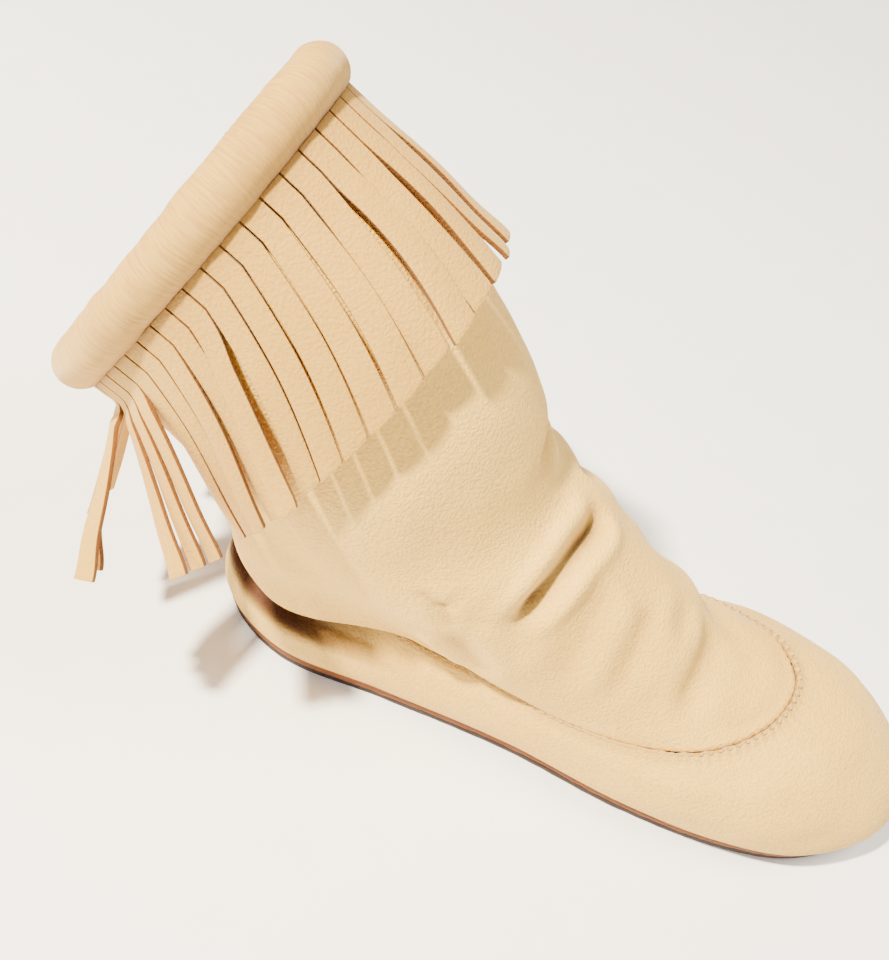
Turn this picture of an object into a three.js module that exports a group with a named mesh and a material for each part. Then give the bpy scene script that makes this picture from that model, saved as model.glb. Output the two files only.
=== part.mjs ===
// Soft leather moccasin ankle boot with a padded rolled collar and a cut fringe.
// Units are millimetres. The sole lies flat on z = 0 with its centre at the origin,
// +X points to the toe, +Z up and -Y is the outer (lateral) side.
import * as THREE from 'three';
import { ParametricGeometry } from 'three/addons/geometries/ParametricGeometry.js';
import { TessellateModifier } from 'three/addons/modifiers/TessellateModifier.js';
import { mergeVertices } from 'three/addons/utils/BufferGeometryUtils.js';

// ---- Driving dimensions ---------------------------------------------------------------------
const soleLength = 253;          // heel to toe along the edge where upper and sole meet
const ballHalfOuter = 45;        // widest half width on the outer side
const ballHalfInner = 40;        // widest half width on the inner side
const waistHalfOuter = 35;       // half width under the arch, outer side
const waistHalfInner = 26;       // half width under the arch, inner side
const heelHalf = 29;             // half width of the heel
const outsoleThickness = 3.0;    // dark rubber layer that meets the ground
const midsoleThickness = 4.0;    // tan leather layer above it
const soleEdgeInset = 1.0;       // the leather layer ends this far inside the upper's edge
const outsoleInset = 0.8;        // the rubber ends this far inside the leather layer
const insoleThickness = 2.0;     // fibre board inside
const liningThickness = 3.0;     // soft footbed on the board
const leather = 1.6;             // thickness of the upper, collar and fringe leather
const lastingMargin = 13;        // how far the upper turns in under the board
const seamHeight = 46;           // height of the moccasin seam over the toe
const toeDepth = 55;             // the seam stops this far behind the toe
const seamHalf = 38;             // half width of the plug inside the seam, at the ball
const instepHeight = 101;        // top of the vamp at the front of the ankle
const ankleHalf = 48.5;          // half width of the vamp's rim round the ankle
const shaftHalf = 46.5;          // half width of the shaft above the ankle
const collarAlong = 112.5;       // long axis of the collar ring, centre to centre of the roll
const collarAcross = 87;         // short axis of the collar ring
const collarBehind = 25.1;       // the collar's centre is this far behind the heel
const collarZ = 149.6;
const collarLean = 65.1;         // degrees that the collar's plane tips back from level
const collarTwist = 4.6;         // degrees that it also turns to the inner side
const rollRadius = 7.6;          // padded roll round the top
const sleeveOpening = 0.35;      // half angle of the roll's open underside, radians
const fringeLength = 52;         // cut length of a fringe strip
const fringeStrips = 45;         // strips all round
const stripsPerComb = 3;         // strips that share one root
const slit = 0.8;                // width of the cut between two strips
const rootHeight = 2.5;          // uncut top of each comb of strips
const fringeStandOff = 1.5;      // clearance between the strips and the shaft
const hingeSlack = 0.79;         // leather left to bend at a comb's root, as a share of the root's bow
const fringeDrift = 0.3;         // radians that the side strips drift back over their length
const stripBend = 21;            // longest flat stretch of a strip
const bandHeight = 3.5;          // uncut top of the fringe, sewn under the roll
const threadRadius = 0.55;       // waxed sewing thread
const counterHeight = 11;        // stiffener round the heel
const counterThickness = 1.4;
const counterLift = 3;           // its lower edge above the turned-in leather
const counterSpread = 1.15;      // radians that it reaches to each side of the heel
const counterRoom = 0.5;         // extra clearance to the wrap, which curves between its corners
const tapeThickness = 1.0;       // tape over the back seam
const tapeSpread = 0.14;         // radians that the tape covers
const tapeStart = 3;             // where it starts below the roll
const tapeRoom = 0.15;
const seamStart = 0.9;           // the vamp starts this far up from the moccasin seam
const gap = 0.35;                // clearance between pieces that touch

// ---- Derived levels -------------------------------------------------------------------------
const midsoleBase = outsoleThickness + gap;
const featherZ = midsoleBase + midsoleThickness + gap;
const boardZ = featherZ + leather + gap;
const liningZ = boardZ + insoleThickness + gap;
const seamToe = soleLength / 2 - toeDepth;
const heelBack = -soleLength / 2;
const collarRound = Math.PI * Math.hypot(collarAlong, collarAcross) / Math.SQRT2;
const combWidth = (collarRound * stripsPerComb) / fringeStrips;
const tightestBend = collarAcross ** 2 / (2 * collarAlong);
const hingeRoom = (hingeSlack * combWidth ** 2) / (8 * tightestBend);
const seat = 0.8;                // the shaft ends this far below the roll's edge
const bandTop = seat + 0.3;
const combTop = bandTop + bandHeight + hingeRoom;
const AROUND = 48;               // steps round the boot

// ---- Colours ----------------------------------------------------------------------------------
const cream = { color: 0xe9d3a8, roughness: 0.8, metalness: 0 };
const creamRoll = { color: 0xf1ddb4, roughness: 0.85, metalness: 0 };
const tan = { color: 0xb4703a, roughness: 0.75, metalness: 0 };
const rubber = { color: 0x3a2015, roughness: 0.7, metalness: 0 };
const board = { color: 0xb79a72, roughness: 0.9, metalness: 0 };
const fleece = { color: 0xe8dcc4, roughness: 0.95, metalness: 0 };
const foam = { color: 0xe6e0cf, roughness: 0.95, metalness: 0 };
const thread = { color: 0xd9c095, roughness: 0.7, metalness: 0 };

const group = new THREE.Group();

// Adds one named sub-part.
function addPart(name, geometry, look) {
  const mesh = new THREE.Mesh(geometry, new THREE.MeshStandardMaterial(look));
  mesh.name = name;
  group.add(mesh);
}

// Merges shared vertices and turns the faces outward, so the geometry is one closed body.
function closeUp(geometry) {
  geometry.deleteAttribute('normal');
  geometry.deleteAttribute('uv');
  const merged = mergeVertices(geometry, 1e-4);
  const index = merged.getIndex().array;
  const place = merged.getAttribute('position');
  const corner = (k) => new THREE.Vector3().fromBufferAttribute(place, index[k]);
  const faces = [];
  let volume = 0;
  for (let k = 0; k < index.length; k += 3) {
    const [a, b, c] = [index[k], index[k + 1], index[k + 2]];
    if (a === b || b === c || a === c) continue;
    volume += corner(k).dot(corner(k + 1).cross(corner(k + 2)));
    faces.push([a, b, c]);
  }
  const ordered = volume < 0 ? faces.map(([a, b, c]) => [a, c, b]) : faces;
  merged.setIndex(ordered.flat());
  merged.computeVertexNormals();
  return merged;
}

// ---- Sole outline -----------------------------------------------------------------------------
// Half widths from toe to heel, each at a share of the length from the toe.
const outlineShare = [0, 0.025, 0.065, 0.15, 0.26, 0.39, 0.56, 0.74, 0.89, 0.97, 1];
const outerHalf = [0, ballHalfOuter - 27, ballHalfOuter - 16, ballHalfOuter - 4, ballHalfOuter,
  waistHalfOuter + 8, waistHalfOuter, heelHalf + 2, heelHalf - 1, heelHalf - 14, 0];
const innerHalf = [0, ballHalfInner - 23, ballHalfInner - 12, ballHalfInner - 2, ballHalfInner,
  waistHalfInner + 8, waistHalfInner, waistHalfInner + 2, heelHalf - 2, heelHalf - 15, 0];

const outlineCurve = (() => {
  const last = outlineShare.length - 1;
  const point = (k, half) => new THREE.Vector3((0.5 - outlineShare[k]) * soleLength, half, 0);
  const points = [];
  for (let k = 0; k < last; k += 1) points.push(point(k, -outerHalf[k]));
  for (let k = last; k > 0; k -= 1) points.push(point(k, innerHalf[k]));
  return new THREE.CatmullRomCurve3(points, true, 'centripetal');
})();

// Point of the feather edge at an angle: 0 is the toe, then round by the outer side to the heel.
function outline(angle) {
  const turn = angle / (2 * Math.PI);
  const point = outlineCurve.getPoint(turn - Math.floor(turn));
  return new THREE.Vector2(point.x, point.y);
}

// The same edge moved outward (or inward, when negative).
function outlineOffset(angle, out) {
  const step = 0.02;
  const along = outline(angle + step).sub(outline(angle - step));
  const normal = new THREE.Vector2(-along.y, along.x).normalize();
  if (normal.dot(outline(angle).sub(new THREE.Vector2(10 * Math.cos(angle), 0))) < 0) normal.negate();
  return outline(angle).addScaledVector(normal, out);
}

function soleSlab(inset, base, thickness) {
  const points = [];
  for (let k = 0; k < 72; k += 1) points.push(outlineOffset((2 * Math.PI * k) / 72, -inset));
  const slab = new THREE.ExtrudeGeometry(new THREE.Shape(points), {
    depth: thickness, bevelEnabled: false, curveSegments: 1,
  });
  slab.translate(0, 0, base);
  return closeUp(slab);
}

// ---- Loops of the upper -----------------------------------------------------------------------
// Each loop runs round the boot: front and back points in the middle plane, half width,
// how round it is (0 follows the sole outline, 1 is an ellipse) and how far its sides sink.
function loopPoint(loop, angle) {
  const { front, back, half, round, sinkOuter, sinkInner } = loop;
  const c = Math.cos(angle);
  const s = Math.sin(angle);
  const sink = s > 0 ? sinkOuter : sinkInner;
  const plan = outline(angle);
  const along = (1 - round) * (plan.x / (soleLength / 2)) + round * c;
  return new THREE.Vector3(
    (front[0] + back[0]) / 2 + ((front[0] - back[0]) / 2) * along,
    (1 - round) * (plan.y / ballHalfOuter) * half - round * half * s,
    (front[1] + back[1]) / 2 + ((front[1] - back[1]) / 2) * along - sink * s * s,
  );
}

function makeLoop(front, back, half, round = 1, sinkOuter = 0, sinkInner = 0) {
  return { front, back, half, round, sinkOuter, sinkInner };
}

const seamLoop = makeLoop([seamToe, seamHeight], [heelBack + 8, seamHeight - 4], seamHalf, 0, 12, 17);
const vampLoops = [
  seamLoop,
  makeLoop([seamToe - 23, seamHeight + 4], [heelBack + 7, seamHeight + 1], seamHalf, 0.15, 10, 15),
  makeLoop([seamToe - 55, 70], [heelBack + 5.5, seamHeight + 6], seamHalf + 3, 0.5, 7, 8),
  makeLoop([heelBack + 113.5, 91], [heelBack + 4, seamHeight + 11], 45.5, 0.85, 3, 3),
  makeLoop([heelBack + 99.5, instepHeight + 1.5], [heelBack + 1.5, seamHeight + 15], ankleHalf, 1, 0, 0),
];
const shaftLoops = [
  makeLoop([heelBack + 90.5, instepHeight - 13], [heelBack + 8, seamHeight + 18], ankleHalf - 7.5),
  makeLoop([heelBack + 91.5, instepHeight + 1], [heelBack + 4, seamHeight + 23], shaftHalf - 3),
  makeLoop([heelBack + 81, instepHeight + 20], [heelBack - 5, seamHeight + 30], shaftHalf),
  makeLoop([heelBack + 63.5, instepHeight + 46], [heelBack - 17, seamHeight + 37], shaftHalf + 0.5),
  makeLoop([heelBack + 34.5, instepHeight + 77], [heelBack - 32, seamHeight + 46], shaftHalf - 0.5),
];

// The collar ring's plane: normal, direction along its long axis and direction across.
const lean = THREE.MathUtils.degToRad(collarLean);
const twist = THREE.MathUtils.degToRad(collarTwist);
const collarNormal = new THREE.Vector3(
  -Math.sin(lean) * Math.cos(twist), Math.sin(lean) * Math.sin(twist), Math.cos(lean));
const collarFront = new THREE.Vector3(Math.cos(lean), 0, Math.sin(lean) * Math.cos(twist)).normalize();
const collarSide = new THREE.Vector3().crossVectors(collarNormal, collarFront).negate();
const collarCentre = new THREE.Vector3(heelBack - collarBehind, 0, collarZ);

function collarPoint(angle) {
  return collarCentre.clone()
    .addScaledVector(collarFront, (collarAlong / 2) * Math.cos(angle))
    .addScaledVector(collarSide, (collarAcross / 2) * Math.sin(angle));
}

// Line down the shaft at one angle, from the collar ring to the hidden lower rim.
const shaftLines = new Map();
function shaftLine(angle) {
  const key = angle.toFixed(5);
  if (!shaftLines.has(key)) {
    const points = [collarPoint(angle)];
    for (let k = shaftLoops.length - 1; k >= 0; k -= 1) points.push(loopPoint(shaftLoops[k], angle));
    const line = new THREE.CatmullRomCurve3(points, false, 'centripetal');
    line.arcLengthDivisions = 80;
    shaftLines.set(key, line);
  }
  return shaftLines.get(key);
}

// Point of the shaft's outer face at a distance down from the roll's centre line.
function shaftAt(angle, down) {
  const line = shaftLine(angle);
  const length = line.getLength();
  if (down <= length) return line.getPointAt(down / length);
  return line.getPointAt(1).addScaledVector(line.getTangentAt(1), down - length);
}

// Outward unit normal of a surface given as (angle, s).
function normalOf(surface, angle, s, last = 1) {
  const e = 1e-3;
  const low = Math.max(s - e, 0);
  const high = Math.min(s + e, last);
  const round = surface(angle + e, s).sub(surface(angle - e, s));
  const along = surface(angle, high).sub(surface(angle, low));
  return along.cross(round).normalize();
}

// ---- Wall round the foot: a surface (angle, s) given a thickness on its inside ---------------
function ringShell(surface, thickness, along) {
  const loop = 2 * (along + 1);
  const geometry = new ParametricGeometry((u, v, target) => {
    const i = Math.round(v * loop) % loop;
    const isOuter = i <= along;
    const s = isOuter ? i / along : (loop - 1 - i) / along;
    const angle = 2 * Math.PI * (Math.round(u * AROUND) / AROUND % 1);
    target.copy(surface(angle, s));
    if (!isOuter) target.addScaledVector(normalOf(surface, angle, s), -thickness);
  }, AROUND, loop);
  return closeUp(geometry);
}

// Closed tube of round section along a closed path given by an angle.
function ringTube(path, radius, sides) {
  const geometry = new ParametricGeometry((u, v, target) => {
    const angle = 2 * Math.PI * (Math.round(u * AROUND) / AROUND % 1);
    const turn = 2 * Math.PI * (Math.round(v * sides) / sides % 1);
    const along = path(angle + 0.01).sub(path(angle - 0.01)).normalize();
    const out = new THREE.Vector3(0, 0, 1).cross(along).normalize();
    const up = along.clone().cross(out);
    target.copy(path(angle))
      .addScaledVector(out, radius * Math.cos(turn))
      .addScaledVector(up, radius * Math.sin(turn));
  }, AROUND, sides);
  return closeUp(geometry);
}

// Smooth line through a few loops at one angle.
const loopLines = new Map();
function loopLine(loops, angle) {
  const key = `${loops.length} ${angle.toFixed(5)}`;
  if (!loopLines.has(key)) {
    loopLines.set(key, new THREE.CatmullRomCurve3(loops.map((l) => loopPoint(l, angle)), false, 'centripetal'));
  }
  return loopLines.get(key);
}

// ---- Foot --------------------------------------------------------------------------------------
// Lower wrap: turned in under the board, round the sole's edge and up to the moccasin seam.
function wrapLine(angle) {
  const toe = Math.max(Math.cos(angle), 0) ** 1.5;
  const top = loopPoint(seamLoop, angle);
  const edge = outline(angle);
  const out = outlineOffset(angle, 1).sub(edge);
  const swell = 3.5 + 7 * toe;
  const at = (share, push, lift) => new THREE.Vector3(
    edge.x + (top.x - edge.x) * share + out.x * push,
    edge.y + (top.y - edge.y) * share + out.y * push,
    featherZ + (top.z - featherZ) * share + lift,
  );
  const turnedIn = outlineOffset(angle, -lastingMargin);
  return [
    new THREE.Vector3(turnedIn.x, turnedIn.y, featherZ),
    at(0, -3.5, 0),
    at(0, 0.3, 0.8),
    at(0.12, swell * 0.62, 0.8 + toe),
    at(0.35, swell, 1.2 + 3 * toe),
    at(0.65, swell * 0.85, 1 + 4 * toe),
    at(0.87, swell * 0.4, 0.4 + 2 * toe),
    top,
  ];
}

function wrapSurface(angle, s) {
  const points = wrapLine(angle);
  const last = points.length - 1;
  const k = Math.min(Math.floor(s * last), last - 1);
  return points[k].clone().lerp(points[k + 1], s * last - k);
}

// Vamp: from just above the moccasin seam over the instep to the rim round the ankle.
function vampSurface(angle, s) {
  const line = loopLine(vampLoops, angle);
  const start = seamStart / line.getLength();
  return line.getPointAt(start + (1 - start) * s);
}

// Stiffener between the lining and the wrap, round the back of the heel.
function heelCounter() {
  const geometry = new THREE.BoxGeometry(1, 1, 1, 16, 4, 1);
  const place = geometry.getAttribute('position');
  const p = new THREE.Vector3();
  for (let k = 0; k < place.count; k += 1) {
    p.fromBufferAttribute(place, k);
    const angle = Math.PI + 2 * counterSpread * p.x;
    const height = featherZ + leather + counterLift + counterHeight * (p.y + 0.5);
    const inward = leather + 2 * gap + counterRoom + (p.z > 0 ? 0 : counterThickness);
    const wall = wallAtHeight(angle, height);
    const normal = wall.normal.setZ(0).normalize();
    p.copy(wall.point).addScaledVector(normal, -inward);
    place.setXYZ(k, p.x, p.y, height);
  }
  return closeUp(geometry);
}

// Point and normal of the wrap's outer face at a height.
function wallAtHeight(angle, height) {
  let low = 3 / 7;
  let high = 1;
  for (let k = 0; k < 24; k += 1) {
    const middle = (low + high) / 2;
    if (wrapSurface(angle, middle).z < height) low = middle;
    else high = middle;
  }
  return { point: wrapSurface(angle, low), normal: normalOf(wrapSurface, angle, low) };
}

function makeFoot() {
  addPart('outsole', soleSlab(soleEdgeInset + outsoleInset, 0, outsoleThickness), rubber);
  addPart('midsole', soleSlab(soleEdgeInset, midsoleBase, midsoleThickness), tan);
  addPart('insole_board', soleSlab(4.5, boardZ, insoleThickness), board);
  addPart('sock_lining', soleSlab(5.5, liningZ, liningThickness), fleece);
  addPart('lower_wrap', ringShell(wrapSurface, leather, 7), cream);
  addPart('heel_counter', heelCounter(), board);
  addPart('vamp', ringShell(vampSurface, leather, 6), cream);
  const seamPath = (angle) => vampSurface(angle, 0)
    .addScaledVector(normalOf(vampSurface, angle, 0.01), threadRadius + gap);
  addPart('moccasin_seam_thread', ringTube(seamPath, threadRadius, 5), thread);
}

// ---- Shaft and collar --------------------------------------------------------------------------
// Distance down the shaft at which it comes out from under the roll.
const rollReach = new Map();
function underRoll(angle) {
  const key = angle.toFixed(5);
  if (!rollReach.has(key)) {
    const ring = collarPoint(angle + 0.01).sub(collarPoint(angle - 0.01)).normalize();
    const down = shaftLine(angle).getTangentAt(0.03);
    rollReach.set(key, rollRadius / down.cross(ring).length());
  }
  return rollReach.get(key);
}

function shaftSurface(angle, s) {
  const top = underRoll(angle) + seat;
  const length = shaftLine(angle).getLength();
  return shaftAt(angle, top + (length - top) * s);
}

// Point at a distance down from the roll's edge, standing off the shaft's outer face.
function offShaft(angle, down, out) {
  const face = (a, d) => shaftAt(a, underRoll(a) + d * 100);
  const normal = normalOf(face, angle, down / 100, Infinity);
  return face(angle, down / 100).addScaledVector(normal.negate(), out);
}

// Padded roll: a leather sleeve, open where the shaft's edge enters, round a foam core.
function rollPoint(angle, turn, radius) {
  const along = collarPoint(angle + 0.01).sub(collarPoint(angle - 0.01)).normalize();
  const out = along.clone().cross(collarNormal).normalize();
  return collarPoint(angle)
    .addScaledVector(out, radius * Math.cos(turn))
    .addScaledVector(collarNormal, radius * Math.sin(turn));
}

function collarSleeve() {
  const steps = 12;
  const loop = 2 * (steps + 1);
  const geometry = new ParametricGeometry((u, v, target) => {
    const i = Math.round(v * loop) % loop;
    const isOuter = i <= steps;
    const s = isOuter ? i / steps : (loop - 1 - i) / steps;
    const angle = 2 * Math.PI * (Math.round(u * AROUND) / AROUND % 1);
    const turn = -Math.PI / 2 + sleeveOpening + (2 * Math.PI - 2 * sleeveOpening) * s;
    target.copy(rollPoint(angle, turn, isOuter ? rollRadius : rollRadius - leather));
  }, AROUND, loop);
  return closeUp(geometry);
}

function collarCore() {
  const sides = 8;
  const geometry = new ParametricGeometry((u, v, target) => {
    const angle = 2 * Math.PI * (Math.round(u * AROUND) / AROUND % 1);
    const turn = 2 * Math.PI * (Math.round(v * sides) / sides % 1);
    target.copy(rollPoint(angle, turn, rollRadius - leather - gap));
  }, AROUND, sides);
  return closeUp(geometry);
}

// Tape inside the shaft over its back seam.
function backSeam() {
  const geometry = new THREE.BoxGeometry(1, 1, 1, 2, 8, 1);
  const place = geometry.getAttribute('position');
  const p = new THREE.Vector3();
  const length = shaftLine(Math.PI).getLength();
  for (let k = 0; k < place.count; k += 1) {
    p.fromBufferAttribute(place, k);
    const down = tapeStart + (length - rollRadius - 3 * tapeStart) * (0.5 - p.y);
    const inward = leather + gap + tapeRoom + (p.z > 0 ? 0 : tapeThickness);
    p.copy(offShaft(Math.PI + tapeSpread * p.x, down, -inward));
    place.setXYZ(k, p.x, p.y, p.z);
  }
  return closeUp(geometry);
}

// ---- Fringe --------------------------------------------------------------------------------------
// Distances round the collar, so that every strip has the same width.
const ringSteps = 720;
const ringReach = [0];
for (let k = 1; k <= ringSteps; k += 1) {
  const a = (2 * Math.PI * (k - 1)) / ringSteps;
  const b = (2 * Math.PI * k) / ringSteps;
  ringReach.push(ringReach[k - 1] + collarPoint(a).distanceTo(collarPoint(b)));
}
const ringLength = ringReach[ringSteps];

function angleAt(distance) {
  const target = ((distance % ringLength) + ringLength) % ringLength;
  const turns = Math.floor(distance / ringLength);
  let k = 1;
  while (ringReach[k] < target) k += 1;
  const part = (target - ringReach[k - 1]) / (ringReach[k] - ringReach[k - 1]);
  return 2 * Math.PI * (turns + (k - 1 + part) / ringSteps);
}

// Where a strip lies: strips at the sides drift down towards the heel, as their weight pulls them.
function stripAngle(distance, down) {
  const angle = angleAt(distance);
  return angle + fringeDrift * Math.sin(angle) * (down / fringeLength);
}

// Comb of strips with one root, cut from flat leather and laid over the shaft.
function combOutline(first) {
  const pitch = ringLength / fringeStrips;
  const last = first + stripsPerComb;
  const points = [[first * pitch + slit / 2, 0], [last * pitch - slit / 2, 0]];
  for (let strip = last - 1; strip >= first; strip -= 1) {
    const from = strip * pitch + slit / 2;
    const to = from + pitch - slit;
    if (strip < last - 1) points.push([to, rootHeight]);
    points.push([to, fringeLength], [from, fringeLength]);
    if (strip > first) points.push([from, rootHeight]);
  }
  return points.map(([x, y]) => new THREE.Vector2(x, -y));
}

function combGeometry(first) {
  const cut = new THREE.ExtrudeGeometry(new THREE.Shape(combOutline(first)), {
    depth: leather, bevelEnabled: false, curveSegments: 1,
  });
  const flat = new TessellateModifier(stripBend, 9).modify(cut);
  const place = flat.getAttribute('position');
  for (let k = 0; k < place.count; k += 1) {
    const down = -place.getY(k);
    const angle = stripAngle(place.getX(k), down);
    const p = offShaft(angle, combTop + down, fringeStandOff + place.getZ(k));
    place.setXYZ(k, p.x, p.y, p.z);
  }
  return closeUp(flat);
}

// Volume centre of a closed body.
function massCentre(geometry) {
  const index = geometry.getIndex().array;
  const place = geometry.getAttribute('position');
  const sum = new THREE.Vector3();
  let volume = 0;
  for (let k = 0; k < index.length; k += 3) {
    const [a, b, c] = [0, 1, 2].map((i) => new THREE.Vector3().fromBufferAttribute(place, index[k + i]));
    const part = a.dot(b.clone().cross(c)) / 6;
    volume += part;
    sum.addScaledVector(a.add(b).add(c), part / 4);
  }
  return sum.divideScalar(volume);
}

// Hinge line of a comb, along the collar at its root, and the angle at which it comes to rest:
// 0 where it lies on the shaft, or the angle at which it hangs free below the collar.
function combHinge(first, geometry) {
  const pitch = ringLength / fringeStrips;
  const at = (d) => offShaft(angleAt(d), combTop, fringeStandOff + leather / 2);
  const from = at(first * pitch);
  const to = at((first + stripsPerComb) * pitch);
  const axis = to.clone().sub(from).normalize();
  const root = from.add(to).multiplyScalar(0.5);
  const arm = massCentre(geometry).sub(root);
  arm.addScaledVector(axis, -arm.dot(axis));
  const turned = axis.clone().cross(arm);
  const hang = Math.atan2(-turned.z, -arm.z);
  return { axis, root, rest: Math.max(hang, 0) };
}

function makeFringe() {
  const band = (angle, s) => offShaft(angle, bandTop + bandHeight * (1 - s), gap + leather);
  addPart('fringe_band', ringShell(band, leather, 1), cream);
  const count = fringeStrips / stripsPerComb;
  for (let k = 0; k < count; k += 1) {
    const first = (k - 0.5) * stripsPerComb;
    const geometry = combGeometry(first);
    const { axis, root, rest } = combHinge(first, geometry);
    const pivot = new THREE.Group();
    pivot.position.copy(root);
    pivot.setRotationFromAxisAngle(axis, rest);
    group.add(pivot);
    geometry.translate(-root.x, -root.y, -root.z);
    const mesh = new THREE.Mesh(geometry, new THREE.MeshStandardMaterial(cream));
    mesh.name = `fringe_${String(k + 1).padStart(2, '0')}`;
    pivot.add(mesh);
  }
}

makeFoot();
addPart('shaft', ringShell((a, s) => shaftSurface(a, 1 - s), leather, 9), cream);
addPart('back_seam', backSeam(), cream);
addPart('collar_roll', collarSleeve(), creamRoll);
addPart('collar_core', collarCore(), foam);
makeFringe();

export default group;
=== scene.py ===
"""Soft leather moccasin ankle boot: stitched toe seam, slouching leg, padded roll and cut fringe.

Shapes are worked out in millimetres in the boot's own frame, +X to the toe, -Y the outer side,
+Z up, and are written to meshes in metres. An angle runs round the boot: 0 is the toe or the
front, a quarter turn is the outer side and half a turn is the heel.
"""

import math
import random

import bmesh
import bpy
import numpy as np
from mathutils import Matrix, Vector
from mathutils.kdtree import KDTree
from mathutils.noise import noise


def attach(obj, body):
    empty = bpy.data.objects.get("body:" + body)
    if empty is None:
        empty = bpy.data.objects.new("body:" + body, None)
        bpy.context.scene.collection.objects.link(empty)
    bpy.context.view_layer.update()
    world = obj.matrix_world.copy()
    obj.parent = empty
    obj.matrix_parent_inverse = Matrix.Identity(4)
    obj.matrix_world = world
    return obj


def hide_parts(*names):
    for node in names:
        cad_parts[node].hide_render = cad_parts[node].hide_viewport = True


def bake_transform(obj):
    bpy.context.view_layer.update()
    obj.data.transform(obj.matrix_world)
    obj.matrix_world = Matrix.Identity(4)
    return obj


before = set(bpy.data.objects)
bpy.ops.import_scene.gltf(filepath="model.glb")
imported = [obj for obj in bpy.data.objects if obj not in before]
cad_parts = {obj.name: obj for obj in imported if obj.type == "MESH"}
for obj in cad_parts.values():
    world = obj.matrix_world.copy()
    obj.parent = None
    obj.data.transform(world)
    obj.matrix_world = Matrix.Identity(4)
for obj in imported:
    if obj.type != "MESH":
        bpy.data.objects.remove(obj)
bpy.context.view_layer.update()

MM = 0.001
TURN = 2 * math.pi

# ---- Sizes, in millimetres ---------------------------------------------------------------------
sole_length = 253
seam_height = 46
seam_toe = 71.5
seam_half = 38
instep_height = 101
ankle_half = 45.5
shaft_half = 46.5
outsole_thickness = 3.0
midsole_base = 3.35
midsole_thickness = 4.0
feather_height = 7.7    # top of the soles, where the wrap's leather turns under
lasting_margin = 13     # leather turned in under the insole board
leather = 1.6
collar_along = 112.5
collar_across = 87
collar_x, collar_z = -151.6, 149.6
collar_lean = math.radians(65.1)
collar_twist = math.radians(4.6)
roll_radius = 7.6
fringe_strips = 45
strips_per_comb = 3
fringe_length = 52
fringe_stand_off = 1.5
fringe_drift = 0.3
slit = 0.4
strip_columns = (0, 0.035, 0.09, 0.3, 0.5, 0.7, 0.91, 0.965, 1)     # shares of a strip's width
strip_face = 3.3        # outer face of a strip at its root, off the shaft's face
strip_wall = 1.4
root_start = -1.5       # where a strip begins, down from the roll's edge
comb_top = 5.9          # where the slits begin and a comb's hinge lies
strip_reach = comb_top + fringe_length - root_start
stitch_pitch = 3.3
under_seam = 5          # how far the leg leather runs on below the seam, inside the wrap


# ---- Camera, light and floor -------------------------------------------------------------------
def set_camera():
    data = bpy.data.cameras.new("camera")
    data.lens = 51.2
    data.sensor_width = 36
    data.sensor_fit = "HORIZONTAL"
    camera = bpy.data.objects.new("camera", data)
    look = Vector((0.018, 0.682, -0.731)).normalized()
    right = Vector((0.947, 0.224, 0.232))
    right = (right - look * right.dot(look)).normalized()
    up = right.cross(look)
    turn = Matrix((right, up, -look)).transposed().to_4x4()
    camera.matrix_world = Matrix.Translation((-0.0713, -0.2706, 0.3742)) @ turn
    bpy.context.collection.objects.link(camera)
    bpy.context.scene.camera = camera


def area_light(name, direction, distance, size, power, colour):
    data = bpy.data.lights.new(name, "AREA")
    data.shape = "DISK"
    data.size = size
    data.energy = power
    data.color = colour
    lamp = bpy.data.objects.new(name, data)
    target = Vector((-0.05, 0, 0.08))
    way = Vector(direction).normalized()
    lamp.location = target + way * distance
    lamp.rotation_euler = way.to_track_quat("Z", "Y").to_euler()
    bpy.context.collection.objects.link(lamp)


def set_studio():
    area_light("key_light", (-0.48, -0.30, 0.82), 1.5, 0.1, 112, (1.0, 0.89, 0.67))
    area_light("fill_light", (0.55, 0.10, 0.83), 1.6, 0.9, 32, (1.0, 0.93, 0.80))
    world = bpy.data.worlds.new("studio_surround")
    world.use_nodes = True
    surround = world.node_tree.nodes["Background"]
    surround.inputs["Color"].default_value = (1.0, 0.96, 0.90, 1)
    surround.inputs["Strength"].default_value = 0.17
    bpy.context.scene.world = world
    bm = bmesh.new()
    bmesh.ops.create_grid(bm, x_segments=2, y_segments=2, size=4.0)
    floor = add_piece(bm, "floor")
    material, nodes, links, shader = new_material("pale_floor")
    shader.inputs["Roughness"].default_value = 0.6
    speckle = noise_texture(nodes, links, 60, 3)
    tint = colour_ramp(nodes, [(0.3, (0.95, 0.96, 0.98)), (0.7, (0.98, 0.985, 1.0))])
    links.new(speckle.outputs["Fac"], tint.inputs["Fac"])
    links.new(tint.outputs["Color"], shader.inputs["Base Color"])
    shader.inputs["Emission Color"].default_value = (1.0, 1.0, 1.0, 1)
    shader.inputs["Emission Strength"].default_value = 0.3
    floor.data.materials.append(material)


# ---- Mesh helpers --------------------------------------------------------------------------------
def add_piece(bm, name):
    """A finished bmesh becomes a smooth-shaded object at the origin."""
    for face in bm.faces:
        face.smooth = True
    mesh = bpy.data.meshes.new(name)
    bm.to_mesh(mesh)
    bm.free()
    piece = bpy.data.objects.new(name, mesh)
    bpy.context.collection.objects.link(piece)
    return piece


def sheet_grid(bm, across, along, place, closed=False):
    """Adds a grid laid out by place(u, v) -> millimetre points, u across and v along, both 0 to 1.

    A closed grid is sewn up where its last column meets its first.
    """
    made = bmesh.ops.create_grid(bm, x_segments=across, y_segments=along, size=0.5)["verts"]
    spots = np.array([v.co[:2] for v in made]) + 0.5
    for vertex, point in zip(made, place(spots[:, 0], spots[:, 1])):
        vertex.co = Vector(point) * MM
    if closed:
        bmesh.ops.remove_doubles(bm, verts=made, dist=1e-6)


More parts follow.
